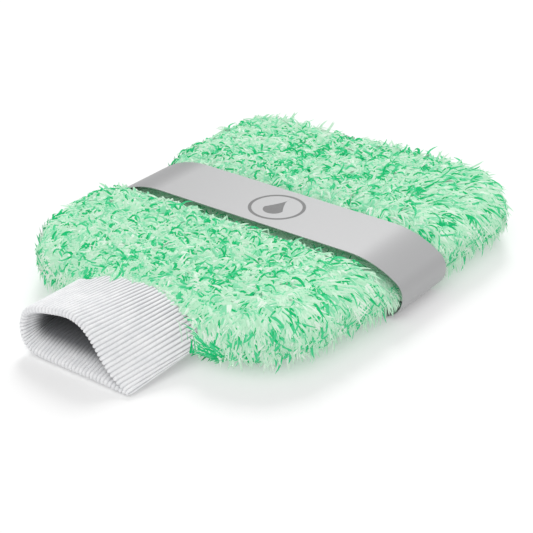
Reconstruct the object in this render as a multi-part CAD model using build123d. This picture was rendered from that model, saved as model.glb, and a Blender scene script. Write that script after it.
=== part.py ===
"""A long-pile car wash mitt with a ribbed knit cuff, lying flat in its card sales band.

The mitt lies along Y: the hand goes in at the -Y end through the cuff, and the fingertips are at +Y.
+X is across the palm and +Z is up. The origin is on the table, under the middle of the bounding box.
Two plush panels are sewn round a flat hand pocket. Between each panel and the pocket's lining lies a
thin sponge pad, and the cuff is a tube of rib knit, folded double, sewn into the mouth. All sizes are
in millimetres, and the plush is drawn at the height to which the band presses its pile.
"""

import os
from math import atan2, degrees

from build123d import *

# Body of the mitt, seen from above: a rectangle with a different radius at each corner
HALF_WIDTH = 96.0
FRONT_Y = -106.5
BACK_Y = 138.5
FRONT_CORNER = 56.0
BACK_LEFT_CORNER = 26.0
BACK_RIGHT_CORNER = 50.0

# Heights of the body. The underside clears the band's glued overlap, and the foot reaches the table
UNDERSIDE_Z = 1.3
TOP_Z = 30.3
MID_Z = (UNDERSIDE_Z + TOP_Z) / 2
FOOT_INSET = 17.0
FOOT_GAP = 8.0

# Pocket, lining and sponge, as heights and as insets from the body's outline
POCKET_HEIGHT = 8.0
POCKET_INSET = 16.0
LINING_WALL = 0.6
SPONGE_THICKNESS = 2.6
SPONGE_INSET = 21.0
SPONGE_START_Y = -48.0
EDGE_ROUND = 3.4

# Thread of the sewn seams, drawn as one round cord for each seam
BODY_THREAD_RADIUS = 0.7
BODY_SEAM_INSET = 10.5
LINING_THREAD_RADIUS = 0.4
SEAM_START_TURN = 12.0
CUFF_THREAD = 1.4

# Ribbed cuff: its rim, its sewn end and the thickness of the folded knit
RIM_Y = -138.5
CUFF_END_Y = -92.5
CUFF_WALL = 3.2
MOUTH_BLEND_Y = -50.0

# Each section of the cuff is the outline stretched round three circles: left, top and right,
# given as centre x, centre z and radius
RIM_CIRCLES = ((-38.5, 10.5, 10.5), (-2.0, 17.5, 12.5), (32.0, 4.2, 4.2))
END_CIRCLES = ((-30.5, MID_Z, 12.4), (0.0, 18.2, 11.0), (30.5, MID_Z, 12.4))
POCKET_CIRCLES = ((-60.0, MID_Z, 3.6), (0.0, MID_Z + 0.1, 3.6), (60.0, MID_Z, 3.6))

# Card band round the mitt: outline of its middle surface, then the glued overlap underneath
CARD = 0.4
BAND_WIDTH = 42.6
BAND_Y = 17.6
BAND_HALF_WIDTH = 97.8
BAND_TOP_Z = 31.0
BAND_SIDE_Z = 14.0
SHOULDER_X = 64.0
SIDE_RADIUS = 10.0
OVERLAP_HALF = 11.0
GLUE_THICKNESS = 0.1
GLUE_WIDTH = 14.0
GLUE_END_MARGIN = 4.0
OUTER_FLAP_Z = CARD / 2
INNER_FLAP_Z = OUTER_FLAP_Z + CARD + GLUE_THICKNESS

# Room between the pressed pile and the band, which has to slide off over the fingertips
SLIDE_GAP = 0.4
REACH = 400.0


def corner(x, y, radius, from_angle):
    """A quarter-circle corner of an outline that is followed anticlockwise."""
    return CenterArc((x, y), radius, from_angle, 90)


def body_outline(inset):
    """The body seen from above, moved inwards by the inset."""
    left, right = -HALF_WIDTH + inset, HALF_WIDTH - inset
    front, back = FRONT_Y + inset, BACK_Y - inset
    front_radius = FRONT_CORNER - inset
    back_right = BACK_RIGHT_CORNER - inset
    back_left = max(BACK_LEFT_CORNER - inset, 2.0)
    corners = [
        corner(right - front_radius, front + front_radius, front_radius, -90),
        corner(right - back_right, back - back_right, back_right, 0),
        corner(left + back_left, back - back_left, back_left, 90),
        corner(left + front_radius, front + front_radius, front_radius, 180),
    ]
    sides = [Line(corners[i] @ 1, corners[(i + 1) % 4] @ 0) for i in range(4)]
    return [edge for pair in zip(corners, sides) for edge in pair]


def body_slab(inset, low_z, high_z):
    """The body's outline as a flat slab between two heights."""
    face = make_face(body_outline(inset))
    return Pos(0, 0, low_z) * extrude(face, high_z - low_z)


def pillow(inset, height):
    """A slab round the middle plane, with the edges of both faces rounded."""
    slab = body_slab(inset, MID_Z - height / 2, MID_Z + height / 2)
    rims = slab.faces().sort_by(Axis.Z)[-1].edges() + slab.faces().sort_by(Axis.Z)[0].edges()
    return fillet(rims, min(EDGE_ROUND, height / 2 - 0.4))


def band_path(half_width, top_z, right_z, left_z, right_end_x, left_end_x):
    """A loop in the XZ plane: flat underneath and on top, with a tight side and a wide shoulder.

    It starts underneath at right_end_x, goes round by the right side, and ends underneath at
    left_end_x. The shoulder's arc touches the top at SHOULDER_X and the side's arc at one point.
    """
    rise = top_z - BAND_SIDE_Z
    across = half_width - SIDE_RADIUS - SHOULDER_X
    shoulder_radius = (across**2 + rise**2 - SIDE_RADIUS**2) / (2 * (rise - SIDE_RADIUS))
    shoulder_turn = degrees(atan2(across, shoulder_radius - rise))
    side_turn = 90 - shoulder_turn
    lower_right = BAND_SIDE_Z - right_z
    lower_left = BAND_SIDE_Z - left_z

    path = [Line((right_end_x, right_z), (half_width - lower_right, right_z))]
    turns = [(lower_right, 90), (SIDE_RADIUS, side_turn), (shoulder_radius, shoulder_turn)]
    for radius, turn in turns:
        path.append(JernArc(path[-1] @ 1, path[-1] % 1, radius, turn))
    path.append(Line(path[-1] @ 1, (-SHOULDER_X, top_z)))
    turns = [(shoulder_radius, shoulder_turn), (SIDE_RADIUS, side_turn), (lower_left, 90)]
    for radius, turn in turns:
        path.append(JernArc(path[-1] @ 1, path[-1] % 1, radius, turn))
    path.append(Line(path[-1] @ 1, (left_end_x, left_z)))
    return path


def along_y(sketch, low_y, high_y):
    """A sketch drawn in XY, stood up so that its y is the height, and drawn out along Y."""
    standing = Plane(origin=(0, high_y, 0), x_dir=(1, 0, 0), z_dir=(0, -1, 0))
    return standing * extrude(sketch, high_y - low_y)


def body_envelope():
    """The outside of the plush: the outline from above, inside the band's section and side view."""
    clear = CARD / 2 + SLIDE_GAP
    section = band_path(
        BAND_HALF_WIDTH - clear, BAND_TOP_Z - clear, UNDERSIDE_Z, UNDERSIDE_Z, 0.0, 0.0
    )
    across = along_y(make_face(section), FRONT_Y, BACK_Y)
    above = body_slab(0.0, 0.0, REACH)
    length = BACK_Y - FRONT_Y
    height = TOP_Z - UNDERSIDE_Z
    profile = RectangleRounded(length, height, height / 2 - 1)
    side_plane = Plane(
        origin=(-REACH / 2, (FRONT_Y + BACK_Y) / 2, MID_Z), x_dir=(0, 1, 0), z_dir=(1, 0, 0)
    )
    beside = side_plane * extrude(profile, REACH)
    return above & across & beside


def foot():
    """Pile in front of the band, which reaches down to the table."""
    back_y = BAND_Y - BAND_WIDTH / 2 - FOOT_GAP
    slab = body_slab(FOOT_INSET, 0.0, UNDERSIDE_Z + 1)
    return slab & Pos(0, back_y - REACH / 2, 0) * Box(REACH, REACH, REACH)


def stretched_outline(circles, grow, y):
    """The closed outline stretched round three circles, in the plane at y."""
    rings = [Pos(x, z) * Edge.make_circle(radius + grow) for x, z, radius in circles]
    standing = Plane(origin=(0, y, 0), x_dir=(1, 0, 0), z_dir=(0, -1, 0))
    return standing * make_hull(rings)


def tube_between(first, first_y, second, second_y, grow):
    """A solid that runs from one stretched outline to another."""
    return loft([
        stretched_outline(first, grow, first_y),
        stretched_outline(second, grow, second_y),
    ])


def mouth(grow):
    """The way from the cuff's bore into the pocket, flat and wide at its far end."""
    bore = tuple((x, z, radius - CUFF_WALL) for x, z, radius in END_CIRCLES)
    return tube_between(bore, CUFF_END_Y, POCKET_CIRCLES, MOUTH_BLEND_Y, grow)


def pocket_space(grow):
    """The space for the hand, with its mouth, grown by a wall."""
    return pillow(POCKET_INSET - grow, POCKET_HEIGHT + 2 * grow) + mouth(grow)


def half_space(upper):
    """Everything above or below the plane where the two halves meet."""
    shift = REACH / 2 if upper else -REACH / 2
    return Pos(0, 0, MID_Z + shift) * Box(REACH, REACH, REACH)


def thread_round(edges, radius):
    """A cord of thread along a smooth chain of edges."""
    path = Wire(edges)
    start = Plane(origin=path @ 0, z_dir=path % 0)
    return sweep(start * Circle(radius), path=path)


def open_outline(inset):
    """The body's outline as a chain at the middle height, open where the cuff comes in."""
    chain = body_outline(inset)[:7]
    radius = FRONT_CORNER - inset
    turn = 90 - SEAM_START_TURN
    centre_x, centre_y = HALF_WIDTH - FRONT_CORNER, FRONT_Y + FRONT_CORNER
    chain[0] = CenterArc((centre_x, centre_y), radius, -turn, turn)
    chain[-1] = CenterArc((-centre_x, centre_y), radius, 180, turn)
    return [Pos(0, 0, MID_Z) * edge for edge in chain]


def body_thread():
    """The seam that joins the two plush panels, from one side of the cuff round to the other."""
    return thread_round(open_outline(BODY_SEAM_INSET), BODY_THREAD_RADIUS)


def lining_thread():
    """The seam that joins the two halves of the lining, half sunk in their outer edge."""
    return thread_round(open_outline(POCKET_INSET - LINING_WALL), LINING_THREAD_RADIUS)


def cuff_thread():
    """The seam that joins cuff, plush and lining, round the cuff's sewn end."""
    middle = -CUFF_WALL / 2
    far_y = CUFF_END_Y + CUFF_THREAD
    outside = tube_between(END_CIRCLES, CUFF_END_Y, END_CIRCLES, far_y, middle + CUFF_THREAD / 2)
    inside = tube_between(END_CIRCLES, CUFF_END_Y, END_CIRCLES, far_y, middle - CUFF_THREAD / 2)
    return outside - inside


def rib_cuff():
    """A tube of rib knit, folded double, round the bore for the wrist."""
    outside = tube_between(RIM_CIRCLES, RIM_Y, END_CIRCLES, CUFF_END_Y, 0.0)
    bore = tube_between(RIM_CIRCLES, RIM_Y, END_CIRCLES, CUFF_END_Y, -CUFF_WALL)
    return outside - bore


def sponge_pad(upper):
    """A flat pad that keeps grit off the finish when fingers press, on one side of the pocket."""
    near = POCKET_HEIGHT / 2 + LINING_WALL
    low = MID_Z + near if upper else MID_Z - near - SPONGE_THICKNESS
    slab = body_slab(SPONGE_INSET, low, low + SPONGE_THICKNESS)
    return slab & Pos(0, SPONGE_START_Y + REACH / 2, 0) * Box(REACH, REACH, REACH)


def paper_band():
    """The card sleeve: one strip folded round the mitt, its ends overlapped and glued underneath."""
    path = band_path(
        BAND_HALF_WIDTH, BAND_TOP_Z, INNER_FLAP_Z, OUTER_FLAP_Z, -OVERLAP_HALF, OVERLAP_HALF
    )
    strip = trace(Wire(path), CARD)
    return along_y(strip, BAND_Y - BAND_WIDTH / 2, BAND_Y + BAND_WIDTH / 2)


def glue_strip():
    """The film of glue between the band's two overlapped ends."""
    length = BAND_WIDTH - 2 * GLUE_END_MARGIN
    return Pos(0, BAND_Y, CARD + GLUE_THICKNESS / 2) * Box(GLUE_WIDTH, length, GLUE_THICKNESS)


def build():
    """Every piece of the mitt and its band, by node name."""
    seams = {
        "body_seam": body_thread(),
        "lining_seam": lining_thread(),
        "cuff_seam": cuff_thread(),
    }
    pads = {"sponge_pad_top": sponge_pad(True), "sponge_pad_bottom": sponge_pad(False)}
    cuff_outside = tube_between(RIM_CIRCLES, RIM_Y, END_CIRCLES, CUFF_END_Y, 0.0)
    lining_outside = pocket_space(LINING_WALL)
    lining = lining_outside - pocket_space(0.0) - cuff_outside
    for seam in seams.values():
        lining = lining - seam

    plush = body_envelope() + foot()
    for inner in [lining_outside, cuff_outside, *pads.values(), *seams.values()]:
        plush = plush - inner

    return {
        "plush_panel_top": plush & half_space(True),
        "plush_panel_bottom": plush & half_space(False),
        "lining_top": lining & half_space(True),
        "lining_bottom": lining & half_space(False),
        "rib_cuff": rib_cuff(),
        "paper_band": paper_band(),
        "band_glue_strip": glue_strip(),
        **pads,
        **seams,
    }


os.makedirs("parts", exist_ok=True)
for name, shape in build().items():
    export_step(shape, f"parts/{name}.step")
    print(name, len(shape.solids()), "solids", round(shape.volume), "mm3")
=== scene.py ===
"""A long-pile car wash mitt with a ribbed knit cuff, lying flat in its card sales band.

+Y runs from the cuff to the fingertips, +X is across the palm, +Z is up, and the table is at z = 0.
Sizes are in millimetres until a mesh is made, and meshes are in metres.
"""

import bpy
import numpy as np
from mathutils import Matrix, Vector


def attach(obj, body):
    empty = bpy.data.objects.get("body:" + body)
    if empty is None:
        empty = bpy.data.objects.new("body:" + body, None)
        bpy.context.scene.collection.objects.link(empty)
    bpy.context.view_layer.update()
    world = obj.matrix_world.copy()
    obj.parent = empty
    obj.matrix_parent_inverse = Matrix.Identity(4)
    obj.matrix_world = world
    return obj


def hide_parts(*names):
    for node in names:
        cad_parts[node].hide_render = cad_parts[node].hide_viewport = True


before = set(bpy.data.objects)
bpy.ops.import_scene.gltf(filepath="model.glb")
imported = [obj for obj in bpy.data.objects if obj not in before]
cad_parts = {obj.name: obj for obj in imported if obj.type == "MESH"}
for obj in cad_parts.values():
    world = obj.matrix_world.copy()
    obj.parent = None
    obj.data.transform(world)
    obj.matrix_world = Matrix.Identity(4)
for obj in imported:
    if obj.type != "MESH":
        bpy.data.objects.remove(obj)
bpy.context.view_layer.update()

# ---------------------------------------------------------------------------------------------
# Rib cuff: a tube of white rib knit, folded double at the rim and sewn into the mitt's mouth. The
# ribs are real ridges. It lies with its mouth open, high on the left and pinched on the right, and
# its lip is thick on the left and along the table.
# ---------------------------------------------------------------------------------------------
MM = 0.001


def srgb(red, green, blue):
    """A colour given as 0 to 255 in sRGB, as linear red, green, blue and alpha of 1."""
    value = np.array([red, green, blue]) / 255.0
    linear = np.where(value <= 0.04045, value / 12.92, ((value + 0.055) / 1.055) ** 2.4)
    return (*[float(x) for x in linear], 1.0)


def make_mesh(name, points, faces, materials, smooth=True, slots=None, values=None, normals=None):
    """An object from points in millimetres and an array of faces with as many corners each.
    values are numbers stored on the points, by name, for its material. normals, one to a point,
    replace the faces' own."""
    mesh = bpy.data.meshes.new(name)
    corners = faces.shape[1]
    mesh.vertices.add(len(points))
    mesh.vertices.foreach_set("co", (points * MM).astype(np.float32).ravel())
    mesh.loops.add(faces.size)
    mesh.loops.foreach_set("vertex_index", faces.astype(np.int32).ravel())
    mesh.polygons.add(len(faces))
    mesh.polygons.foreach_set("loop_start", np.arange(0, faces.size, corners, dtype=np.int32))
    mesh.update(calc_edges=True)
    for material in materials:
        mesh.materials.append(material)
    mesh.polygons.foreach_set("use_smooth", np.full(len(faces), smooth))
    if slots is not None:
        mesh.polygons.foreach_set("material_index", slots.astype(np.int32))
    for value_name, value in (values or {}).items():
        stored = mesh.attributes.new(value_name, "FLOAT", "POINT")
        stored.data.foreach_set("value", value.astype(np.float32).ravel())
    mesh.validate()
    if normals is not None:
        mesh.normals_split_custom_set_from_vertices(normals.tolist())
    made = bpy.data.objects.new(name, mesh)
    bpy.context.scene.collection.objects.link(made)
    return made


def grid_faces(rows, columns, close_rows=False, close_columns=False):
    """Four-sided faces over a grid of points stored row by row."""
    row = np.arange(rows if close_rows else rows - 1)
    column = np.arange(columns if close_columns else columns - 1)
    i, j = np.meshgrid(row, column, indexing="ij")
    i2, j2 = (i + 1) % rows, (j + 1) % columns
    corners = [i * columns + j, i * columns + j2, i2 * columns + j2, i2 * columns + j]
    return np.stack(corners, axis=-1).reshape(-1, 4)


def smoothstep(low, high, value):
    """0 at low and 1 at high, the same beyond them, and 3t^2 - 2t^3 between. low may be the larger."""
    t = np.clip((value - low) / (high - low), 0, 1)
    return t * t * (3 - 2 * t)


RIBS = 76
RIB_SAMPLES = 8
RIM_SECTION = np.array([
    (-41.5, 12.0), (-41.5, 17.0), (-40.0, 21.5), (-36.0, 24.6), (-30.0, 26.8), (-22.0, 28.6),
    (-14.0, 29.9), (-7.0, 29.7), (0.0, 27.5), (6.0, 23.5), (11.0, 18.8), (16.0, 13.6),
    (21.0, 8.8), (26.0, 5.4), (30.5, 3.8), (33.0, 2.2), (31.5, 0.7), (24.0, 0.5),
    (12.0, 0.5), (0.0, 0.5), (-12.0, 0.5), (-24.0, 0.6), (-33.0, 1.6), (-39.0, 5.8),
])
NECK_SECTION = np.array([
    (-44.5, 15.0), (-43.0, 19.0), (-39.5, 22.2), (-34.0, 24.6), (-26.0, 26.4), (-16.0, 27.7),
    (-5.0, 28.2), (5.0, 28.2), (14.0, 27.7), (23.0, 26.8), (31.0, 25.2), (37.5, 22.6),
    (42.0, 19.0), (43.5, 14.8), (41.0, 11.0), (34.0, 8.8), (22.0, 7.4), (10.0, 6.8),
    (-2.0, 6.6), (-14.0, 6.6), (-26.0, 6.8), (-35.0, 7.6), (-41.0, 9.2), (-44.0, 11.8),
])
RIM_FRONT, RIM_LEAN, NECK_BACK = -140.0, 0.17, -82.0
KNIT_THICKNESS, LIP_THICKNESS = 2.8, 3.4
LIP_END, LIP_FADE = 24.0, 4.0
PINCH_START, PINCH_FULL, PINCH_SHARE = 12.0, 27.0, 0.65
RIB_HEIGHT = 0.8
RIM_TEETH = 1.5 * RIB_HEIGHT
KNIT_LOWEST = 0.25
ROLL_START = 0.03
OUTSIDE_STEPS, ROLL_STEPS, INSIDE_STEPS = 60, 7, 44


def smooth_loop(corners, count):
    """A closed curve through the corners, by periodic cubic (Catmull-Rom) pieces, resampled
    evenly by length."""
    n = len(corners)
    t = np.linspace(0, n, n * 40, endpoint=False)
    i = t.astype(int)
    f = (t - i)[:, None]
    a, b, c, d = (corners[(i + k) % n] for k in (-1, 0, 1, 2))
    curve = 0.5 * (2 * b + (c - a) * f + (2 * a - 5 * b + 4 * c - d) * f**2
                   + (3 * b - a - 3 * c + d) * f**3)
    closed = np.concatenate([curve, curve[:1]])
    length = np.concatenate([[0], np.cumsum(np.linalg.norm(np.diff(closed, axis=0), axis=1))])
    along = np.linspace(0, length[-1], count, endpoint=False)
    return np.stack([np.interp(along, length, closed[:, k]) for k in (0, 1)], axis=-1)


def loop_normal(loop):
    """Unit normals of a closed loop in its plane, pointing outwards for a clockwise loop."""
    along = np.roll(loop, -1, axis=0) - np.roll(loop, 1, axis=0)
    along = along / np.linalg.norm(along, axis=1, keepdims=True)
    return np.stack([-along[:, 1], along[:, 0]], axis=-1)


around = RIBS * RIB_SAMPLES
rim_loop = smooth_loop(RIM_SECTION, around)
neck_loop = smooth_loop(NECK_SECTION, around)
rib_relief = np.abs(np.cos(np.pi * RIBS * np.arange(around) / around)) ** 0.5


def cuff_wall(share, depth, relief, forward):
    """The cuff's wall at each share of the way from rim to neck: the rim's section blended into
    the neck's by share^0.9, and moved in by depth along its normal. Ribs stand out by
    relief * |cos|^0.5 along the normal, and by forward * |cos|^0.5 out of the rim."""
    blend = (share**0.9)[:, None, None]
    loop = (1 - blend) * rim_loop + blend * neck_loop
    normal = (1 - blend) * loop_normal(rim_loop) + blend * loop_normal(neck_loop)
    normal = normal / np.linalg.norm(normal, axis=-1, keepdims=True)
    loop = loop + normal * (relief[:, None] * rib_relief - depth)[..., None]
    front = RIM_FRONT + RIM_LEAN * rim_loop[:, 1]
    y = front + (NECK_BACK - front) * share[:, None] - forward[:, None] * rib_relief
    return np.stack([loop[..., 0], y, np.maximum(loop[..., 1], KNIT_LOWEST)], axis=-1)


# The lip is thick where the rim faces left or down, and the wall is thin at the pinch.
rim_normal = loop_normal(rim_loop)
thick_lip = smoothstep(0.1, 0.8, np.maximum(-rim_normal[:, 0], -rim_normal[:, 1]))
thick_lip = thick_lip * smoothstep(LIP_END, LIP_FADE, rim_loop[:, 0])
# The wall's steps go from the neck out to the rim, over the rolled rim, and back in to the neck.
before_rim, after_rim = np.zeros(OUTSIDE_STEPS), np.zeros(INSIDE_STEPS)
roll = np.linspace(0, np.pi, ROLL_STEPS + 2)[1:-1]
steps_out = np.linspace(1, ROLL_START, OUTSIDE_STEPS)
steps_in = np.linspace(ROLL_START, 1, INSIDE_STEPS)
share = np.concatenate([steps_out, ROLL_START - ROLL_START * np.sin(roll), steps_in])
wall = np.concatenate([before_rim, (1 - np.cos(roll)) / 2, after_rim + 1])
funnel = np.concatenate([before_rim, 0 * roll, smoothstep(0.0, 0.24, steps_in)])
pinched = smoothstep(PINCH_START, PINCH_FULL, rim_loop[:, 0]) * smoothstep(0.7, 0.2, share)[:, None]
depth = RIB_HEIGHT + KNIT_THICKNESS * wall[:, None] * (1 - PINCH_SHARE * pinched)
depth = depth + LIP_THICKNESS * funnel[:, None] * thick_lip
relief = RIB_HEIGHT * np.concatenate([before_rim + 1, np.cos(roll), after_rim - 1])
forward = RIM_TEETH * np.concatenate([before_rim, np.sin(roll), after_rim])
cuff_grid = cuff_wall(share, depth, relief, forward)
# Painted shade: the grooves are darkened in the colour, more so near the seam where the knit is
# gathered, and deep inside the cuff the knit is darkened too.
gathered_shade_depth = 0.35 + 0.65 * smoothstep(0.25, 0.8, share)[:, None]
painted_groove_shade = (1 - rib_relief) * gathered_shade_depth * np.ones_like(depth)
painted_inside_shade = np.concatenate([before_rim, 0 * roll, smoothstep(0.06, 0.20, steps_in)])
painted_inside_shade = painted_inside_shade[:, None] * np.ones_like(depth)


def math_node(tree, operation, first, second=None, third=None):
    """A Math node whose inputs are sockets or numbers."""
    node = tree.nodes.new("ShaderNodeMath")
    node.operation = operation
    for socket, value in zip(node.inputs, (first, second, third)):
        if isinstance(value, (int, float)):
            socket.default_value = value
        elif value is not None:
            tree.links.new(value, socket)
    return node.outputs[0]


def map_range(tree, value, start, end, low=0.0, high=1.0):
    """low where value is at start, high where it's at end, and in proportion between."""
    node = tree.nodes.new("ShaderNodeMapRange")
    for name, number in (("From Min", start), ("From Max", end), ("To Min", low), ("To Max", high)):
        node.inputs[name].default_value = number
    tree.links.new(value, node.inputs["Value"])
    return node.outputs["Result"]


def blend_colours(tree, factor, first, second):
    """A colour from first to second by a factor. Each is a colour or a socket."""
    node = tree.nodes.new("ShaderNodeMix")
    node.data_type = "RGBA"
    tree.links.new(factor, node.inputs["Factor"])
    for name, colour in (("A", first), ("B", second)):
        if isinstance(colour, tuple):
            node.inputs[name].default_value = colour
        else:
            tree.links.new(colour, node.inputs[name])
    return node.outputs["Result"]


def mottled_cloth_group():
    """Blends two colours by fine and coarse noise, and puts out the fine noise as a height."""
    group = bpy.data.node_groups.new("mottled_cloth", "ShaderNodeTree")
    for name, kind, way in (
        ("Light", "NodeSocketColor", "INPUT"), ("Deep", "NodeSocketColor", "INPUT"),
        ("Coarse Scale", "NodeSocketFloat", "INPUT"), ("Fine Scale", "NodeSocketFloat", "INPUT"),
        ("Colour", "NodeSocketColor", "OUTPUT"), ("Height", "NodeSocketFloat", "OUTPUT"),
    ):
        group.interface.new_socket(name=name, in_out=way, socket_type=kind)
    nodes, link = group.nodes, group.links.new
    inlet, outlet = nodes.new("NodeGroupInput"), nodes.new("NodeGroupOutput")
    place = nodes.new("ShaderNodeTexCoord")
    noise = {}
    for grain, detail in (("Coarse", 3.0), ("Fine", 2.0)):
        node = nodes.new("ShaderNodeTexNoise")
        node.inputs["Detail"].default_value = detail
        link(inlet.outputs[f"{grain} Scale"], node.inputs["Scale"])
        link(place.outputs["Object"], node.inputs["Vector"])
        noise[grain] = node.outputs["Fac"]
    fine_part = math_node(group, "MULTIPLY", noise["Fine"], 0.4)
    both = math_node(group, "MULTIPLY_ADD", noise["Coarse"], 0.6, fine_part)
    mottle = map_range(group, both, 0.38, 0.62)
    colour = blend_colours(group, mottle, inlet.outputs["Light"], inlet.outputs["Deep"])
    link(colour, outlet.inputs["Colour"])
    link(noise["Fine"], outlet.inputs["Height"])
    return group


MOTTLED_CLOTH = mottled_cloth_group()


def cloth_material(name, light, deep, coarse, fine, bump, roughness=0.9, sheen=0.2):
    """A mottled cloth with a fine bump. coarse and fine are the scales of its two noises."""
    material = bpy.data.materials.new(name)
    material.use_nodes = True
    nodes, link = material.node_tree.nodes, material.node_tree.links.new
    shader = nodes["Principled BSDF"]
    shader.inputs["Roughness"].default_value = roughness
    shader.inputs["Sheen Weight"].default_value = sheen
    mottle = nodes.new("ShaderNodeGroup")
    mottle.node_tree = MOTTLED_CLOTH
    mottle.inputs["Light"].default_value = light
    mottle.inputs["Deep"].default_value = deep
    mottle.inputs["Coarse Scale"].default_value = coarse
    mottle.inputs["Fine Scale"].default_value = fine
    relief = nodes.new("ShaderNodeBump")
    relief.inputs["Strength"].default_value = bump
    relief.inputs["Distance"].default_value = 0.002
    link(mottle.outputs["Height"], relief.inputs["Height"])
    link(mottle.outputs["Colour"], shader.inputs["Base Color"])
    link(relief.outputs["Normal"], shader.inputs["Normal"])
    return material


def shade_by(material, value_name, colour):
    """Blends a material's colour towards another one by a value stored on the mesh."""
    tree = material.node_tree
    base = tree.nodes["Principled BSDF"].inputs["Base Color"]
    stored = tree.nodes.new("ShaderNodeAttribute")
    stored.attribute_name = value_name
    shaded = blend_colours(tree, stored.outputs["Fac"], base.links[0].from_socket, colour)
    tree.links.new(shaded, base)


knit = cloth_material(
    "rib_knit", srgb(252, 252, 253), srgb(240, 241, 243), 160.0, 1500.0, 0.35, 0.85, 0.1
)
# Painted shade in the grooves between the ribs.
shade_by(knit, "painted_groove_shade", srgb(140, 141, 145))
# Painted shade deep inside the cuff, past the first few millimetres from the rim.
shade_by(knit, "painted_inside_shade", srgb(118, 119, 122))
cuff_faces = grid_faces(len(share), around, close_columns=True)[:, ::-1]
cuff = make_mesh(
    "rib_knit_cuff", cuff_grid.reshape(-1, 3), cuff_faces, [knit],
    values={"painted_groove_shade": painted_groove_shade, "painted_inside_shade": painted_inside_shade},
)
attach(cuff, "mitt")
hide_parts("rib_cuff")


def cuff_gap(x, z):
    """Seen along Y, how far points are outside the cuff's neck, and the way out from it. The
    distance is to the nearest point of the neck, and it's below 0 inside."""
    step = RIB_SAMPLES // 2
    ring, out = neck_loop[::step], loop_normal(neck_loop)[::step]
    off = np.stack([x, z], axis=-1)[..., None, :] - ring
    nearest = np.argmin((off**2).sum(-1), axis=-1)
    off = np.take_along_axis(off, nearest[..., None, None], axis=-2)[..., 0, :]
    side = np.sign((off * out[nearest]).sum(-1))
    return side * np.linalg.norm(off, axis=-1), out[nearest]


# ---------------------------------------------------------------------------------------------
# Ground cloth of the mitt's body: two plush panels, sewn edge to edge round the sponge pads and
# the hand pocket. This is the knitted cloth that the pile grows from, with the short dense fibres
# at the pile's foot. The band presses it low, and it's open at the front for the cuff.
# ---------------------------------------------------------------------------------------------
BODY_FRONT = -97.5
BODY_OUTLINE = np.array([
    (-3.0, -97.5), (20.0, -97.5), (40.0, -97.2), (56.0, -95.5), (72.0, -87.5), (83.5, -73.0),
    (87.5, -54.0), (90.0, -28.0), (92.5, -3.0), (92.5, 30.0), (93.0, 60.0), (94.0, 84.0),
    (94.0, 101.0), (87.0, 116.0), (74.5, 128.0), (58.0, 134.5), (40.0, 135.5), (5.0, 134.0),
    (-31.0, 132.0), (-62.0, 128.5), (-81.0, 124.0), (-91.0, 117.5), (-94.5, 106.0),
    (-95.0, 85.0), (-94.5, 50.0), (-94.5, 20.0), (-95.5, -12.0), (-97.0, -35.0),
    (-94.5, -56.0), (-86.5, -74.0), (-73.5, -87.0), (-57.0, -94.0), (-39.0, -97.0),
    (-20.0, -97.5),
])
SPINE_FRONT, SPINE_BACK = -50.0, 88.0
BODY_MID = 15.5
TOP_RISE, BOTTOM_DROP = 16.2, 11.0
RIM_WIDTH, RIM_RINGS = 18.0, 0.4
BODY_HALF_WIDTH = 93
CROWN, WAVE_HEIGHT, TUFT_HEIGHT = 1.0, 0.7, 0.9
# Each wave's direction in radians and its length.
TUFT_WAVES = ((0.3, 7.1), (1.4, 8.3), (2.3, 6.2), (0.9, 5.1), (1.9, 11.7))
BAND_LOW, BAND_HIGH = -3.7, 38.9
PRESS_DEPTH, WAIST_LEFT, WAIST_RIGHT = 3.6, 0.035, 0.018
DIP_DEPTH, DIP_BACK, DIP_REACH = 4.6, 3, 9
TIP_FALL, TIP_START, TIP_END = 1.6, 70, 125
CUFF_FALL, CUFF_MIDDLE, CUFF_REACH = 0.17, 14, 42
CUFF_FALL_START, CUFF_FALL_FULL = -74, -87
MOUTH_BACK, MOUTH_DEPTH = -78.0, 1.7


def pressed(y):
    """1 where the band presses the body, falling to 0 in front of it and behind it."""
    front = smoothstep(BAND_LOW - 15, BAND_LOW - 3, y)
    return front * (1 - smoothstep(BAND_HIGH, BAND_HIGH + 9, y))


def tufting(x, y):
    """An uneven quilt of tufts about 7 mm apart, from -1 to 1: a sum of five sine waves in
    directions and lengths that don't repeat, through a soft limit."""
    total = np.zeros_like(x)
    for angle, length in TUFT_WAVES:
        along = x * np.cos(angle) + y * np.sin(angle)
        across = y * np.cos(angle) - x * np.sin(angle)
        total += np.sin(2 * np.pi * along / length + 1.7 * np.sin(across / 9.0 + 5 * angle))
    return np.tanh(total / 2.2)


def plan_rings(rings, outline, spine_front, spine_back, rim_width):
    """Seen from above, rings that step from an outline in to a spine along Y. A ring at r has
    come in by rim * (1 - cos(turn)) while r is under RIM_RINGS, and evenly after that. It gives
    x, y, the sine of the turn, and the share of the even part."""
    spine = np.stack([np.zeros(len(outline)), np.clip(outline[:, 1], spine_front, spine_back)], -1)
    reach = np.linalg.norm(outline - spine, axis=1)
    turn = np.clip(rings / RIM_RINGS, 0, 1)[:, None] * np.pi / 2
    even = np.clip((rings - RIM_RINGS) / (1 - RIM_RINGS), 0, 1)[:, None]
    inward = rim_width * (1 - np.cos(turn)) + (reach - rim_width) * even
    plan = spine + (1 - inward / reach)[..., None] * (outline - spine)
    full = np.ones_like(inward)
    return plan[..., 0], plan[..., 1], np.sin(turn) * full, even * full


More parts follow.
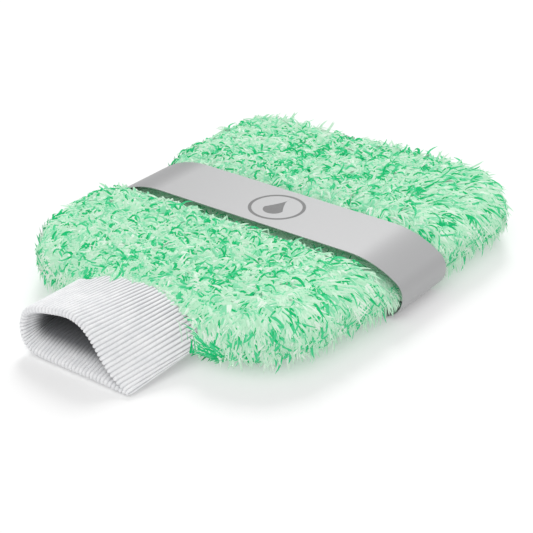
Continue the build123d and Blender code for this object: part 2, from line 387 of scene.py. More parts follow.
def body_point(rings, turn_count, side):
    """The body's surface on one side: mid height + side * rise * sin(turn). The top has a low
    crown and soft tufts, is pressed down and in by the band, dips below the card's front edge,
    and is lower over the cuff and at the fingertips."""
    outline = smooth_loop(BODY_OUTLINE, turn_count)
    x, y, rise, even = plan_rings(rings, outline, SPINE_FRONT, SPINE_BACK, RIM_WIDTH)
    height = rise * (TOP_RISE if side > 0 else BOTTOM_DROP)
    if side > 0:
        crown = CROWN * even * (1 - (x / BODY_HALF_WIDTH) ** 2)
        waves = WAVE_HEIGHT * np.sin(x / 13 + 1.3) * np.sin(y / 17 + 0.4)
        tufts = waves + TUFT_HEIGHT * tufting(x, y)
        height = height + (crown + tufts * rise) * (1 - pressed(y)) - PRESS_DEPTH * pressed(y) * rise
        height = height - DIP_DEPTH * rise * np.exp(-((y - BAND_LOW - DIP_BACK) / DIP_REACH) ** 2)
        height = height - TIP_FALL * rise * smoothstep(TIP_START, TIP_END, y)
        over_cuff = np.exp(-((x - CUFF_MIDDLE) / CUFF_REACH) ** 2)
        over_cuff = over_cuff * smoothstep(CUFF_FALL_START, CUFF_FALL_FULL, y)
        height = height * (1 - CUFF_FALL * over_cuff)
    x = x * (1 - np.where(x < 0, WAIST_LEFT, WAIST_RIGHT) * pressed(y))
    return np.stack([x, y, BODY_MID + side * height], axis=-1)


undercoat = cloth_material(
    "plush_undercoat", srgb(208, 244, 217), srgb(150, 228, 182), 170.0, 800.0, 0.5
)
ring_steps = np.concatenate([np.linspace(0, RIM_RINGS, 18)[:-1], np.linspace(RIM_RINGS, 1, 62)])
TURNS = 480


def half_body(name, side):
    """One plush panel's ground cloth: the body's grid on that side, closed at the spine, and cut
    out where the cuff goes in. The cut's edge is inside the cuff's wall."""
    grid = body_point(ring_steps, TURNS, side)
    faces = grid_faces(len(ring_steps), TURNS, close_columns=True)
    if side < 0:
        faces = faces[:, ::-1]
    points = grid.reshape(-1, 3)
    middle = points[faces].mean(axis=1)
    in_mouth = middle[:, 1] < MOUTH_BACK
    in_mouth[in_mouth] = cuff_gap(middle[in_mouth, 0], middle[in_mouth, 2])[0] < -MOUTH_DEPTH
    return make_mesh(name, points, faces[~in_mouth], [undercoat]), grid


ground_top, top_grid = half_body("plush_ground_top", 1)
ground_bottom, bottom_grid = half_body("plush_ground_bottom", -1)
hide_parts("plush_panel_top")
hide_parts("plush_panel_bottom")
for ground in (ground_top, ground_bottom):
    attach(ground, "mitt")

# ---------------------------------------------------------------------------------------------
# Lining: a bag of thin warp-knit cloth that makes the hand pocket. Its two sheets are sewn to each
# other at the edge, and to the cuff's neck at the front.
# ---------------------------------------------------------------------------------------------
LINING_HALF_WIDTH, LINING_FRONT, LINING_BACK = 78.0, -85.0, 120.0
LINING_CORNER, LINING_NARROWING = 30.0, 36.0
POCKET_GAP = 4.0
LINING_CLOTH = 0.5


def pocket_half_width(y):
    """Half the pocket's width at y: full width, with round corners at the back, and narrowed to
    the cuff's neck at the front."""
    corner = np.clip((y - LINING_BACK + LINING_CORNER) / LINING_CORNER, 0, 1)
    back = LINING_CORNER * (1 - np.sqrt(1 - corner**2))
    return LINING_HALF_WIDTH - back - LINING_NARROWING * smoothstep(-50, LINING_FRONT, y)


def lining_sheet(name, side):
    """One sheet of the bag, LINING_CLOTH thick. Along the neck it follows the inside of the cuff,
    and by 40 mm further in it has turned into mid height + side * gap * (1 - u^4) * (1 - v^8)."""
    inner = neck_loop - loop_normal(neck_loop) * (KNIT_THICKNESS + 2.2 * RIB_HEIGHT)
    left, right = np.argmin(inner[:, 0]), np.argmax(inner[:, 0])
    over = inner[left:right + 1] if left < right else np.concatenate([inner[left:], inner[:right + 1]])
    under = inner[right:left + 1] if right < left else np.concatenate([inner[right:], inner[:left + 1]])
    half = over if side > 0 else under[::-1]
    u = np.linspace(-1, 1, 49)
    neck = np.stack([np.interp(u, np.linspace(-1, 1, len(half)), half[:, k]) for k in (0, 1)], -1)
    y = np.linspace(LINING_FRONT, LINING_BACK, 60)[:, None]
    v = (y - LINING_FRONT) / (LINING_BACK - LINING_FRONT)
    pocket_x = u * pocket_half_width(y)
    pocket_z = BODY_MID + side * (POCKET_GAP * (1 - u**4) * (1 - v**8) + 0.05)
    into = smoothstep(LINING_FRONT, LINING_FRONT + 40, y)
    x = (1 - into) * neck[:, 0] + into * pocket_x
    z = (1 - into) * neck[:, 1] + into * pocket_z
    inside = np.stack([x, y * np.ones_like(x), z], axis=-1)
    outside = inside + np.array([0, 0, side * LINING_CLOTH])
    rows, columns = inside.shape[:2]
    faces = grid_faces(rows, columns)
    edge = np.concatenate([
        np.arange(columns), np.arange(1, rows) * columns + columns - 1,
        (rows - 1) * columns + np.arange(columns - 2, -1, -1), np.arange(rows - 2, 0, -1) * columns,
    ])
    following = np.roll(edge, -1)
    count = rows * columns
    border = np.stack([edge, following, following + count, edge + count], axis=-1)
    faces = np.concatenate([faces[:, ::-1], faces + count, border])
    if side < 0:
        faces = faces[:, ::-1]
    points = np.concatenate([inside.reshape(-1, 3), outside.reshape(-1, 3)])
    return make_mesh(name, points, faces, [lining_cloth]), inside


lining_cloth = cloth_material(
    "lining_cloth", srgb(232, 238, 234), srgb(214, 224, 218), 90.0, 1400.0, 0.2, 0.8, 0.2
)
lining_top, lining_grid = lining_sheet("pocket_lining_top", 1)
lining_bottom, _ = lining_sheet("pocket_lining_bottom", -1)
for sheet, node in ((lining_top, "lining_top"), (lining_bottom, "lining_bottom")):
    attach(sheet, "mitt")
    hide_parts(node)

# ---------------------------------------------------------------------------------------------
# Sponge pads: two flat pads of cut foam between the lining and the plush panels, with soft edges.
# ---------------------------------------------------------------------------------------------
PAD_HALF_WIDTH, PAD_FRONT, PAD_BACK, PAD_CORNER = 73.0, -44.0, 112.0, 24.0
PAD_SPINE, PAD_RIM = 50.0, 3.0
PAD_THICKNESS = 2.6
PAD_OFFSET = 6.6


def rounded_outline(count, left, right, front, back, radii):
    """Points evenly spaced round a rectangle with four corner radii: front right, back right,
    back left and front left. It runs anticlockwise from the front side's middle."""
    centres = [
        (right - radii[0], front + radii[0]), (right - radii[1], back - radii[1]),
        (left + radii[2], back - radii[2]), (left + radii[3], front + radii[3]),
    ]
    turn = np.linspace(0, np.pi / 2, 60)
    arcs = [
        np.stack([cx + r * np.cos(turn + a), cy + r * np.sin(turn + a)], axis=-1)
        for (cx, cy), r, a in zip(centres, radii, np.pi / 2 * np.arange(-1, 3))
    ]
    start = np.array([[(left + right) / 2, front]])
    path = np.concatenate([start, *arcs, start])
    length = np.concatenate([[0], np.cumsum(np.linalg.norm(np.diff(path, axis=0), axis=1))])
    along = np.linspace(0, length[-1], count, endpoint=False)
    return np.stack([np.interp(along, length, path[:, k]) for k in (0, 1)], axis=-1)


def sponge_pad(name, side):
    """A closed pad: mid height of the pad plus and minus half its thickness * sin(turn)."""
    outline = rounded_outline(
        200, -PAD_HALF_WIDTH, PAD_HALF_WIDTH, PAD_FRONT, PAD_BACK, [PAD_CORNER] * 4
    )
    rings = np.concatenate([np.linspace(0, RIM_RINGS, 7)[:-1], np.linspace(RIM_RINGS, 1, 30)])
    x, y, rise, _ = plan_rings(
        rings, outline, PAD_FRONT + PAD_SPINE, PAD_BACK - PAD_SPINE, PAD_RIM
    )
    middle = BODY_MID + side * PAD_OFFSET
    sheets = [
        np.stack([x, y, middle + face * PAD_THICKNESS / 2 * rise], axis=-1) for face in (1, -1)
    ]
    faces = grid_faces(len(rings), len(outline), close_columns=True)
    faces = np.concatenate([faces, faces[:, ::-1] + x.size])
    return make_mesh(name, np.concatenate(sheets).reshape(-1, 3), faces, [foam])


foam = cloth_material(
    "sponge_foam", srgb(238, 234, 214), srgb(216, 208, 178), 300.0, 900.0, 0.8, 0.95, 0.0
)
for side, name, node in (
    (1, "sponge_top", "sponge_pad_top"), (-1, "sponge_bottom", "sponge_pad_bottom")
):
    pad = sponge_pad(name, side)
    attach(pad, "mitt")
    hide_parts(node)

# ---------------------------------------------------------------------------------------------
# Seams: two-ply white polyester thread. One closes the panels round the body's edge, one closes the
# lining, and one holds the cuff where it goes into the mouth.
# ---------------------------------------------------------------------------------------------
THREAD_SIDES = 10
PLY_PITCH, PLY_DEPTH = 5.0, 0.28
EDGE_STEPS = 1200
UPWARDS, FORWARDS = np.array([0.0, 0.0, 1.0]), np.array([0.0, 1.0, 0.0])
CUFF_SEAM_DEPTH = 2.6


def twisted_thread(name, path, radius, facing, closed):
    """A thread along a path: a tube whose radius is r * (1 + depth * cos(2 * (angle - twist))),
    which shows two plies that wind round each other once every PLY_PITCH. Angles are measured
    from a side at right angles to the direction facing."""
    if closed:
        ahead = np.roll(path, -1, axis=0) - np.roll(path, 1, axis=0)
    else:
        ahead = np.gradient(path, axis=0)
    ahead = ahead / np.linalg.norm(ahead, axis=1, keepdims=True)
    side = np.cross(ahead, facing)
    side = side / np.linalg.norm(side, axis=1, keepdims=True)
    over = np.cross(side, ahead)
    step = np.linalg.norm(np.diff(path, axis=0, prepend=path[:1]), axis=1)
    twist = 2 * np.pi * np.cumsum(step)[:, None] / PLY_PITCH
    angle = 2 * np.pi * np.arange(THREAD_SIDES) / THREAD_SIDES
    reach = radius * (1 + PLY_DEPTH * np.cos(2 * (angle - twist)))
    if not closed:
        reach[[0, -1]] = 0.0
    points = path[:, None] + reach[..., None] * (
        np.cos(angle)[:, None] * side[:, None] + np.sin(angle)[:, None] * over[:, None]
    )
    faces = grid_faces(len(path), THREAD_SIDES, close_rows=closed, close_columns=True)
    made = make_mesh(name, points.reshape(-1, 3), faces[:, ::-1], [thread])
    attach(made, "mitt")
    return made


thread = bpy.data.materials.new("polyester_thread")
thread.use_nodes = True
thread_shader = thread.node_tree.nodes["Principled BSDF"]
thread_shader.inputs["Base Color"].default_value = srgb(240, 246, 241)
thread_shader.inputs["Roughness"].default_value = 0.55

# The body's seam follows the edge, starting and ending at the cuff.
edge_path = body_point(np.zeros(1), EDGE_STEPS, 1)[0]
edge_path = np.roll(edge_path, -EDGE_STEPS // 2, axis=0)
off_cuff = cuff_gap(edge_path[:, 0], edge_path[:, 2])[0]
sewn = (edge_path[:, 1] > SPINE_FRONT) | (off_cuff > 1.5)
at_cuff = int(np.argmin(sewn))
edge_path, sewn = np.roll(edge_path, -at_cuff, axis=0), np.roll(sewn, -at_cuff)
body_thread = twisted_thread("body_seam_thread", edge_path[sewn], 0.5, UPWARDS, closed=False)
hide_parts("body_seam")

# The lining's seam runs up its left side, across the back and down its right side.
lining_edge = np.concatenate([
    lining_grid[12:, 0], lining_grid[-1, 1:-1], lining_grid[:11:-1, -1],
])
lining_thread = twisted_thread("lining_seam_thread", lining_edge, 0.35, UPWARDS, closed=False)
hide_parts("lining_seam")

# The cuff's seam goes round the neck, a little behind where the ground cloth's rim meets it.
neck_out = neck_loop[::2] + 0.1 * loop_normal(neck_loop)[::2]
rim_rise = np.where(neck_out[:, 1] > BODY_MID, TOP_RISE, BOTTOM_DROP)
up_rim = np.clip(np.abs(neck_out[:, 1] - BODY_MID) / rim_rise, 0, 0.98)
meets = BODY_FRONT + RIM_WIDTH * (1 - np.sqrt(1 - up_rim**2))
cuff_path = np.stack([neck_out[:, 0], meets + CUFF_SEAM_DEPTH, neck_out[:, 1]], axis=-1)
cuff_thread = twisted_thread("cuff_seam_thread", cuff_path, 0.5, FORWARDS, closed=True)
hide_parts("cuff_seam")

# ---------------------------------------------------------------------------------------------
# Pile: long microfibre yarn. Broad soft locks of pale mint lie over each other like petals, and on
# top of them tufts of yarn dyed green spread from one root and hook over. They lie in all
# directions on the palm, are brushed outwards near the rim, and are pressed flat under the band.
# ---------------------------------------------------------------------------------------------
STRAND_STEPS = 7
PIECE_STRANDS = 5400
ROOT_SHARE = 0.35
# A lock's direction: at random on the palm, and combed outwards near the rim and on the right.
WILD_TURN, COMBED_TURN = 2.6, 0.32
COMB_START, COMB_END, COMB_MOST = 5, 75, 0.95
# How much longer combed locks are, and how much lower locks stand at the rim and in the band.
COMBED_LENGTH, RIM_LOWER, BAND_LOWER = 0.35, 0.45, 0.75


def yarn_material(name, colour):
    """One dye shade of the pile's yarn."""
    material = bpy.data.materials.new(name)
    material.use_nodes = True
    shader = material.node_tree.nodes["Principled BSDF"]
    shader.inputs["Base Color"].default_value = colour
    shader.inputs["Roughness"].default_value = 0.8
    shader.inputs["Specular IOR Level"].default_value = 0.1
    return material


PALEST, PALE, MINT, SOFT, GREEN, DEEP = range(6)
yarns = [
    yarn_material("yarn_palest_mint", srgb(226, 247, 229)),
    yarn_material("yarn_pale_mint", srgb(208, 243, 216)),
    yarn_material("yarn_mint", srgb(188, 238, 203)),
    yarn_material("yarn_soft_green", srgb(142, 228, 180)),
    yarn_material("yarn_green", srgb(78, 214, 147)),
    yarn_material("yarn_deep_green", srgb(26, 196, 118)),
]


def scatter_roots(grid, count, rng, weight):
    """Random places on a grid surface, by area times a weight: positions, normals and outward
    directions along the surface."""
    a, b = grid[:-1], np.roll(grid, -1, axis=1)[:-1]
    c, d = np.roll(grid, -1, axis=1)[1:], grid[1:]
    across, inward = b - a, d - a
    normal = np.cross(across, inward)
    area = np.linalg.norm(normal, axis=-1)
    middle = (a + b + c + d) / 4
    chance = (area * weight(middle)).ravel()
    pick = rng.choice(chance.size, size=count, p=chance / chance.sum())
    u, v = rng.random((2, count, 1))
    a, b, c, d = (q.reshape(-1, 3)[pick] for q in (a, b, c, d))
    place = (1 - v) * ((1 - u) * a + u * b) + v * ((1 - u) * d + u * c)
    normal = normal.reshape(-1, 3)[pick]
    normal = normal / np.linalg.norm(normal, axis=1, keepdims=True)
    above = middle.reshape(-1, 3)[pick, 2:] > BODY_MID
    normal = normal * np.where(above, 1, -1) * np.sign(normal[:, 2:])
    outward = -inward.reshape(-1, 3)[pick]
    outward = outward - (outward * normal).sum(1, keepdims=True) * normal
    outward = outward / np.linalg.norm(outward, axis=1, keepdims=True)
    return place, normal, outward


def strand_paths(place, normal, lie, length, rise, curl):
    """Strands that leave the cloth along its normal and hook over along the direction lie. Each
    point is place + rise * sin(0.84 * pi * t^0.7) * normal
    + length * (sin(curl * t), 1 - cos(curl * t)) / curl along lie and across it."""
    t = np.linspace(0, 1, STRAND_STEPS)[None, :, None]
    across = np.cross(normal, lie)
    curl = np.where(np.abs(curl) < 0.05, 0.05, curl)[:, None, None]
    ahead = np.sin(curl * t) / curl
    aside = (1 - np.cos(curl * t)) / curl
    lift = np.sin(np.pi * 0.84 * t**0.7)
    return (
        place[:, None] + rise[:, None, None] * lift * normal[:, None]
        + length[:, None, None] * (ahead * lie[:, None] + aside * across[:, None])
    )


# The inside of the card over the mitt: flat, then a wide arc, then a small arc down to the side.
# Below the side's middle it turns in under the mitt on a third arc.
CARD_INSIDE, SHOULDER_START, SHOULDER_END, SHOULDER_RADIUS = 30.3, 64.0, 93.2, 53.5
SIDE_START, SIDE_MIDDLE, SIDE_RADIUS, SIDE_REACH = 87.8, 14.0, 9.3, 96.0
UNDER_START, UNDER_RADIUS = 84.0, 12.7
# The card stands off the pile at its front edge by this much, and touches it again further back.
STAND_OFF, STAND_OFF_BACK, TOUCH_AGAIN = 5.0, BAND_LOW + 9, BAND_LOW + 15
LEFT_STAND_OFF = 2.5
FRONT_MARGIN, BACK_MARGIN = 1.5, 0.8
CUFF_CLEARANCE, CUFF_LIFT, CUFF_TIP = 0.8, 6, -114
BESIDE_NECK, BARE_STRIP = NECK_BACK + 4, 1.2
TABLE_CLEARANCE, PILE_TOP = 0.3, 40.5


def card_roof(x):
    """The height of the card's inside at x: the wide arc's, or the side arc's if that is lower."""
    over = np.clip(np.abs(x) - SHOULDER_START, 0, SHOULDER_END - SHOULDER_START)
    shoulder = CARD_INSIDE - SHOULDER_RADIUS + np.sqrt(SHOULDER_RADIUS**2 - over**2)
    past = np.clip(np.abs(x) - SIDE_START, 0, SIDE_RADIUS - 0.1)
    side = SIDE_MIDDLE + np.sqrt(SIDE_RADIUS**2 - past**2)
    return np.where(np.abs(x) > SHOULDER_END, np.minimum(shoulder, side), shoulder)


def keep_clear(path, radius):
    """Strands stay above the table, off the cuff, and inside the band where it presses them. At
    the band's front edge they're lower still, so the card stands off them. In front of the band
    and behind it they rise again over a few millimetres."""
    x, y, z = path[..., 0], path[..., 1], path[..., 2]
    ahead = np.clip(BAND_LOW - FRONT_MARGIN - y, 0, None)
    behind = np.clip(y - BAND_HIGH - BACK_MARGIN, 0, None)
    near_band = (ahead < 10) & (behind < 4)
    reach = SIDE_REACH + 0.5 * ahead
    x = np.where(near_band, np.clip(x, -reach, reach), x)
    roof = card_roof(x) - STAND_OFF * smoothstep(TOUCH_AGAIN, STAND_OFF_BACK, y)
    roof = roof + 0.5 * ahead + 1.2 * behind
    roof = roof - LEFT_STAND_OFF * smoothstep(-76, -90, x) * smoothstep(-1, 1, ahead)
    z = np.where(near_band, np.minimum(z, roof - 1.8 * radius), z)
    drop = np.clip(SIDE_MIDDLE - z, 0, UNDER_RADIUS)
    reach = UNDER_START + np.sqrt(UNDER_RADIUS**2 - drop**2)
    tucked_in = (ahead < 2) & (behind < 2) & (drop > 0)
    x = np.where(tucked_in, np.clip(x, -reach, reach), x)
    near_cuff = (y > CUFF_TIP) & (y < NECK_BACK + 2)
    gap, out = cuff_gap(x[near_cuff], z[near_cuff])
    lift = np.clip(CUFF_CLEARANCE - gap, 0, CUFF_LIFT)
    x[near_cuff] += lift * out[..., 0]
    z[near_cuff] += lift * out[..., 1]
    return np.stack([x, y, np.clip(z, TABLE_CLEARANCE + radius, PILE_TOP)], axis=-1)


def strand_mesh(path, facing, width, flatness):
    """Three-sided strands along the paths, closed at both ends: half as wide at t as
    width * sin(pi * t^0.7)^0.6, and flattened towards the cloth. Their normals lean to the
    cloth's and upwards, so that the pile takes the light as one soft surface."""
    count, steps = path.shape[:2]
    t = np.linspace(0, 1, steps)
    taper = np.clip(np.sin(np.pi * t**0.7), 0, 1) ** 0.6
    ahead = np.gradient(path, axis=1)
    ahead = ahead / np.maximum(np.linalg.norm(ahead, axis=-1, keepdims=True), 1e-6)
    side = np.cross(ahead, facing[:, None])
    side = side / np.maximum(np.linalg.norm(side, axis=-1, keepdims=True), 1e-6)
    over = np.cross(side, ahead)
    radius = width[:, None, None] * taper[None, :, None]
    angles = np.array([0.5, 7 / 6, 11 / 6]) * np.pi
    ways = [np.cos(a) * side + flatness * np.sin(a) * over for a in angles]
    points = np.stack([path + radius * way for way in ways], axis=2).reshape(-1, 3)
    soft = 0.6 * facing[:, None] * [1, 1, 0.7] + [0, 0, 0.4]
    normals = np.stack([0.75 * way + soft for way in ways], axis=2)
    normals = (normals / np.linalg.norm(normals, axis=-1, keepdims=True)).reshape(-1, 3)
    base = (np.arange(count) * steps * 3)[:, None, None, None]
    step = (np.arange(steps - 1) * 3)[None, :, None, None]
    corner = np.arange(3)[None, None, :, None]
    turn = (corner + 1) % 3
    sides = base + step + np.concatenate([corner, corner + 3, turn + 3, turn], axis=-1)
    return points, sides.reshape(-1, 4), normals


def pile_pieces(name, path, facing, width, flatness, root_tone, tip_tone):
    """The pile as pieces of a few thousand strands, in order along Y. The faces of each strand
    take root_tone for the first part and tip_tone for the rest."""
    order = np.argsort(path[:, 0, 1], kind="stable")
    parts = int(np.ceil(len(order) / PIECE_STRANDS))
    for number, chosen in enumerate(np.array_split(order, parts)):
        points, faces, normals = strand_mesh(
            path[chosen], facing[chosen], width[chosen], flatness
        )
        # A strand's root part is mostly a darker yarn than its tip: partly the yarn's own tone, partly
        # painted shade between the locks.
        early = np.arange(STRAND_STEPS - 1)[None, :] < ROOT_SHARE * STRAND_STEPS
        tone = np.where(early, root_tone[chosen, None], tip_tone[chosen, None])
        made = make_mesh(
            f"{name}_{number + 1}", points, faces, yarns, slots=np.repeat(tone.ravel(), 3),
            normals=normals,
        )
        # Fine fibres let the light through, apart from those between the mitt and the table.
        made.visible_shadow = name == "pile_under"
        made.visible_diffuse = False
        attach(made, "mitt")


def grow_locks(name, grid, weight, seed, locks, each, length, rise, curl, width, flatness, fan,
               tones, tips, lean=(0, 0, 0)):
    """Locks of strands that share a root and a direction. length, rise, curl and width are
    (least, most): curl is the turn over a strand's length in radians, and width is half the
    strand's. fan is the spread of directions within a lock. tones and tips are the choices of
    yarn for the first part of a strand and for the rest, from pale patches to deep ones. lean is
    added to every direction."""
    rng = np.random.default_rng(seed)
    place, normal, outward = scatter_roots(grid, locks, rng, weight)
    rim = smoothstep(0.97, 0.35, np.abs(normal[:, 2]))
    combed = np.clip(rim + COMB_MOST * smoothstep(COMB_START, COMB_END, place[:, 0]), 0, 1)
    turn = rng.normal(0, 1, locks) * (WILD_TURN * (1 - combed) + COMBED_TURN)
    across = np.cross(normal, outward)
    lie = np.cos(turn)[:, None] * outward + np.sin(turn)[:, None] * across + lean
    lie = lie - (lie * normal).sum(1, keepdims=True) * normal
    lie = lie / np.linalg.norm(lie, axis=1, keepdims=True)
    long = rng.uniform(*length, locks) * (1 + COMBED_LENGTH * combed)
    high = rng.uniform(*rise, locks) * (1 - RIM_LOWER * rim)
    high = high * (1 - BAND_LOWER * pressed(place[:, 1]))
    lock = np.repeat(np.arange(locks), each)
    count = len(lock)
    shift = rng.normal(0, 0.7, (count, 3))
    shift -= (shift * normal[lock]).sum(1, keepdims=True) * normal[lock]
    twist = rng.normal(0, 1, count) * fan * (1 - 0.5 * combed[lock])
    lie_each = np.cos(twist)[:, None] * lie[lock]
    lie_each = lie_each + np.sin(twist)[:, None] * np.cross(normal, lie)[lock]
    bend = rng.choice([-1.0, 1.0], count) * rng.uniform(*curl, count) * (1 - 0.6 * combed[lock])
    path = strand_paths(
        place[lock] + shift - 0.8 * normal[lock], normal[lock], lie_each,
        long[lock] * rng.uniform(0.8, 1.1, count), high[lock] * rng.uniform(0.75, 1.1, count), bend,
    )
    thick = rng.uniform(*width, count)
    path = keep_clear(path, flatness * thick[:, None])
    patch = 0.5 + 0.5 * tufting(0.6 * place[:, 0], 0.6 * place[:, 1])
    # The root tones are mostly darker than the tips: partly the yarn's own tone, partly painted shade
    # between locks that cast no shadows on each other.
    tone = ((0.45 * patch + 0.55 * rng.random(locks)) * len(tones)).astype(int)
    pile_pieces(
        name, path, normal[lock], thick, flatness, np.array(tones)[tone][lock],
        np.array(tips)[tone][lock],
    )


def clear_of_cuff(middle):
    """1 where pile grows: not on the cut-out for the cuff, nor against the cuff."""
    weight = np.ones(middle.shape[:2])
    front = middle[..., 1] < BESIDE_NECK
    weight[front] = cuff_gap(middle[front, 0], middle[front, 2])[0] > BARE_STRIP
    return weight


def lower_rim(middle):
    """Under the mitt the pile is thin: 0.5 there, and 3 near the rim, where most of it stands."""
    return clear_of_cuff(middle) * np.where(middle[..., 2] > 6.5, 3.0, 0.5)


def right_of_cuff(middle):
    """The low corner where the body's front meets the cuff's right side."""
    x, y, z = middle[..., 0], middle[..., 1], middle[..., 2]
    return clear_of_cuff(middle) * ((x > 24) & (x < 54) & (y < -84) & (z < 10))


def above_cuff(middle):
    """The strip of the body's front, up to 7 mm wide, that goes round the cuff's upper side."""
    weight = np.zeros(middle.shape[:2])
    front = middle[..., 1] < BESIDE_NECK
    gap = cuff_gap(middle[front, 0], middle[front, 2])[0]
    weight[front] = (gap > BARE_STRIP) & (gap < 7) & (np.abs(middle[front, 0]) < 44)
    return weight


grow_locks(
    "pile_soft", top_grid, clear_of_cuff, seed=11, locks=9000, each=2, length=(7, 11),
    rise=(1.2, 2.8), curl=(0.1, 1.0), width=(0.55, 1.15), flatness=0.5, fan=0.3,
    tones=[MINT, MINT, SOFT, SOFT], tips=[PALEST, PALE, MINT, MINT],
)
grow_locks(
    "pile_stars", top_grid, clear_of_cuff, seed=12, locks=290, each=6, length=(5, 8),
    rise=(2.6, 4.2), curl=(0.9, 2.3), width=(0.5, 0.8), flatness=0.7, fan=1.3,
    tones=[DEEP, DEEP, GREEN], tips=[GREEN, DEEP, DEEP],
)
grow_locks(
    "pile_hooks", top_grid, clear_of_cuff, seed=15, locks=1400, each=1, length=(8, 12),
    rise=(2.6, 4.4), curl=(1.4, 2.9), width=(0.6, 1.05), flatness=0.7, fan=0.3,
    tones=[GREEN, DEEP, DEEP], tips=[GREEN, GREEN, DEEP],
)
grow_locks(
    "pile_soft_hooks", top_grid, clear_of_cuff, seed=16, locks=3000, each=1, length=(6, 10),
    rise=(1.8, 3.2), curl=(1.0, 2.4), width=(0.45, 0.8), flatness=0.6, fan=0.3,
    tones=[SOFT, SOFT, GREEN], tips=[MINT, SOFT, SOFT],
)
grow_locks(
    "pile_under", bottom_grid, lower_rim, seed=13, locks=4400, each=2, length=(5, 9),
    rise=(1.0, 2.4), curl=(0.1, 0.8), width=(0.6, 1.2), flatness=0.5, fan=0.4,
    tones=[MINT, SOFT, GREEN, GREEN], tips=[PALEST, MINT, GREEN, GREEN],
)
grow_locks(
    "pile_by_cuff", bottom_grid, right_of_cuff, seed=17, locks=170, each=3, length=(9, 14),
    rise=(1.0, 2.6), curl=(0.1, 0.8), width=(0.6, 1.1), flatness=0.5, fan=0.5,
    tones=[SOFT, GREEN, DEEP], tips=[PALE, GREEN, DEEP], lean=(-1.0, -1.8, -0.4),
)
grow_locks(
    "pile_over_cuff", top_grid, above_cuff, seed=18, locks=190, each=4, length=(6, 9),
    rise=(1.2, 2.6), curl=(0.1, 1.0), width=(0.55, 1.0), flatness=0.5, fan=0.6,
    tones=[MINT, SOFT, GREEN, DEEP], tips=[PALEST, MINT, MINT, GREEN], lean=(-0.2, -1.2, 0.0),
)

# ---------------------------------------------------------------------------------------------
# Card band: one strip of silver-grey satin card, folded round the mitt and glued underneath, with
# a dark printed mark on top. The mark is a plain ring with a drop in it.
# ---------------------------------------------------------------------------------------------
MARK_X, MARK_Y, MARK_LOWEST = 2.5 * MM, 17.6 * MM, 20.0 * MM
RING_RADIUS, RING_LINE = 15.0 * MM, 1.9 * MM
DROP_RADIUS, DROP_SINK, DROP_TIP, DROP_TAPER = 6.0 * MM, 3.0 * MM, 13.0 * MM, 1.4
INK_EDGE = 0.12 * MM
CARD_REACH = 98 * MM


def printed_mark(tree, x, y, z):
    """1 on the printed ring and on the drop in it, with the soft edge of ink. The drop is round
    below its middle. At a height h above it, half its width is radius * (1 - h / tip)^taper."""
    across = math_node(tree, "SUBTRACT", x, MARK_X)
    along = math_node(tree, "SUBTRACT", y, MARK_Y)
    across_square = math_node(tree, "MULTIPLY", across, across)
    square = math_node(tree, "MULTIPLY_ADD", along, along, across_square)
    from_middle = math_node(tree, "SQRT", square)
    off_ring = math_node(tree, "ABSOLUTE", math_node(tree, "SUBTRACT", from_middle, RING_RADIUS))
    half_line = RING_LINE / 2
    ring = map_range(tree, off_ring, half_line + INK_EDGE, half_line - INK_EDGE)
    up = math_node(tree, "ADD", along, DROP_SINK)
    height = math_node(tree, "MAXIMUM", math_node(tree, "DIVIDE", up, DROP_TIP), 0.0)
    taper = math_node(tree, "POWER", math_node(tree, "SUBTRACT", 1.0, height), DROP_TAPER)
    below = math_node(tree, "MINIMUM", up, 0.0)
    square = math_node(tree, "MULTIPLY_ADD", below, below, across_square)
    drop_edge = math_node(tree, "MULTIPLY", taper, DROP_RADIUS)
    off_drop = math_node(tree, "SUBTRACT", math_node(tree, "SQRT", square), drop_edge)
    drop = map_range(tree, off_drop, INK_EDGE, -INK_EDGE)
    in_ring = map_range(tree, from_middle, RING_RADIUS + INK_EDGE, RING_RADIUS - INK_EDGE)
    drop = math_node(tree, "MULTIPLY", drop, in_ring)
    on_top = math_node(tree, "GREATER_THAN", z, MARK_LOWEST)
    return math_node(tree, "MULTIPLY", math_node(tree, "MAXIMUM", ring, drop), on_top)


def satin_card():
    """Silver-grey card with fine fibres under its satin varnish, and painted light: a little lighter to
    the right.
    """
    material = bpy.data.materials.new("satin_card")
    material.use_nodes = True
    tree = material.node_tree
    nodes, link = tree.nodes, tree.links.new
    shader = nodes["Principled BSDF"]
    shader.inputs["Specular IOR Level"].default_value = 0.35
    place = nodes.new("ShaderNodeTexCoord")
    split = nodes.new("ShaderNodeSeparateXYZ")
    link(place.outputs["Object"], split.inputs[0])
    x, y, z = (split.outputs[axis] for axis in "XYZ")
    # Painted light: the board is lighter towards the right, as the light falls more brightly there.
    painted_light_to_right = map_range(tree, x, -CARD_REACH, CARD_REACH)
    board_painted_light = blend_colours(tree, painted_light_to_right, srgb(150, 150, 151), srgb(176, 176, 177))
    printed = blend_colours(tree, printed_mark(tree, x, y, z), board_painted_light, srgb(38, 38, 39))
    link(printed, shader.inputs["Base Color"])
    fibres = nodes.new("ShaderNodeTexNoise")
    fibres.inputs["Scale"].default_value = 900.0
    fibres.inputs["Detail"].default_value = 3.0
    link(place.outputs["Object"], fibres.inputs["Vector"])
    gloss = map_range(tree, fibres.outputs["Fac"], 0.0, 1.0, 0.36, 0.48)
    link(gloss, shader.inputs["Roughness"])
    bump = nodes.new("ShaderNodeBump")
    bump.inputs["Strength"].default_value = 0.05
    bump.inputs["Distance"].default_value = 0.0005
    link(fibres.outputs["Fac"], bump.inputs["Height"])
    link(bump.outputs["Normal"], shader.inputs["Normal"])
    return material


glue_film = bpy.data.materials.new("glue_film")
glue_film.use_nodes = True
glue_shader = glue_film.node_tree.nodes["Principled BSDF"]
glue_shader.inputs["Base Color"].default_value = srgb(222, 212, 178)
glue_shader.inputs["Roughness"].default_value = 0.45

for node, finish in (("paper_band", satin_card()), ("band_glue_strip", glue_film)):
    for material_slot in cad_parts[node].material_slots:
        material_slot.material = finish

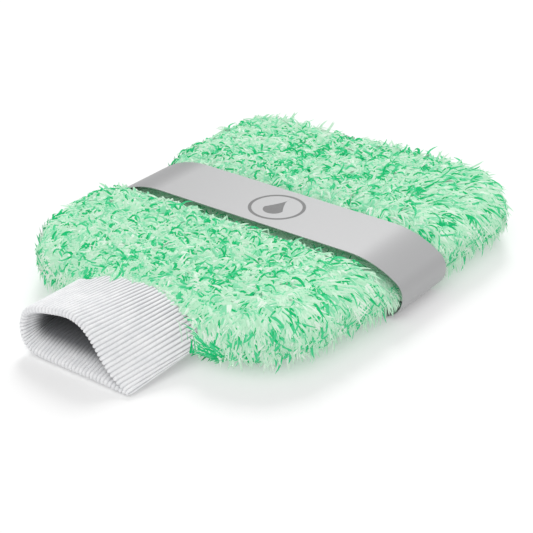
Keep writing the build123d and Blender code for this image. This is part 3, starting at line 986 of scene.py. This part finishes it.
# ---------------------------------------------------------------------------------------------
# Table, light and camera: a wide white table that shines a little, an even white sky, and three
# soft lights. The brightest comes from behind on the left. The camera looks down over the cuff.
# ---------------------------------------------------------------------------------------------
REACH = 30000.0
SKY_LIGHT = 0.53
CAMERA_LENS, SENSOR_WIDTH = 103.3, 36.0
CAMERA_PLACE = (0.4502, -0.5917, 0.3901)
CAMERA_YAW, CAMERA_PITCH = np.radians(-36.74), np.radians(27.62)
table = bpy.data.materials.new("table_white")
table.use_nodes = True
table_shader = table.node_tree.nodes["Principled BSDF"]
table_shader.inputs["Base Color"].default_value = (0.8, 0.8, 0.8, 1)
table_shader.inputs["Roughness"].default_value = 0.95
table_shader.inputs["Specular IOR Level"].default_value = 0.1
table_shader.inputs["Emission Color"].default_value = (1, 1, 1, 1)
table_shader.inputs["Emission Strength"].default_value = 0.17
corners = np.array([(-REACH, -REACH, 0), (REACH, -REACH, 0), (REACH, REACH, 0), (-REACH, REACH, 0)])
floor = make_mesh("table", corners, np.array([[0, 1, 2, 3]]), [table], smooth=False)

scene = bpy.context.scene
world = bpy.data.worlds.new("studio")
scene.world = world
world.use_nodes = True
world.node_tree.nodes["Background"].inputs["Color"].default_value = (1, 1, 1, 1)
world.node_tree.nodes["Background"].inputs["Strength"].default_value = SKY_LIGHT


def sun_light(name, direction, angle, power):
    """A soft light from far off, that comes from a direction and fills that angle of the sky."""
    data = bpy.data.lights.new(name, "SUN")
    data.angle = np.radians(angle)
    data.energy = power
    lamp = bpy.data.objects.new(name, data)
    lamp.rotation_euler = (-Vector(direction)).to_track_quat("-Z", "Y").to_euler()
    scene.collection.objects.link(lamp)


sun_light("key_behind_left", (-0.6, 0.85, 0.8), 20.0, 1.3)
sun_light("soft_overhead", (0.1, -0.3, 1.0), 60.0, 0.7)
sun_light("fill_front_right", (0.5, -0.8, 0.6), 70.0, 0.5)

camera_data = bpy.data.cameras.new("camera")
camera_data.sensor_width = SENSOR_WIDTH
camera_data.lens = CAMERA_LENS
camera = bpy.data.objects.new("camera", camera_data)
camera.location = CAMERA_PLACE
camera.rotation_euler = (np.pi / 2 - CAMERA_PITCH, 0, -CAMERA_YAW)
scene.collection.objects.link(camera)
scene.camera = camera
scene.view_settings.view_transform = "Standard"
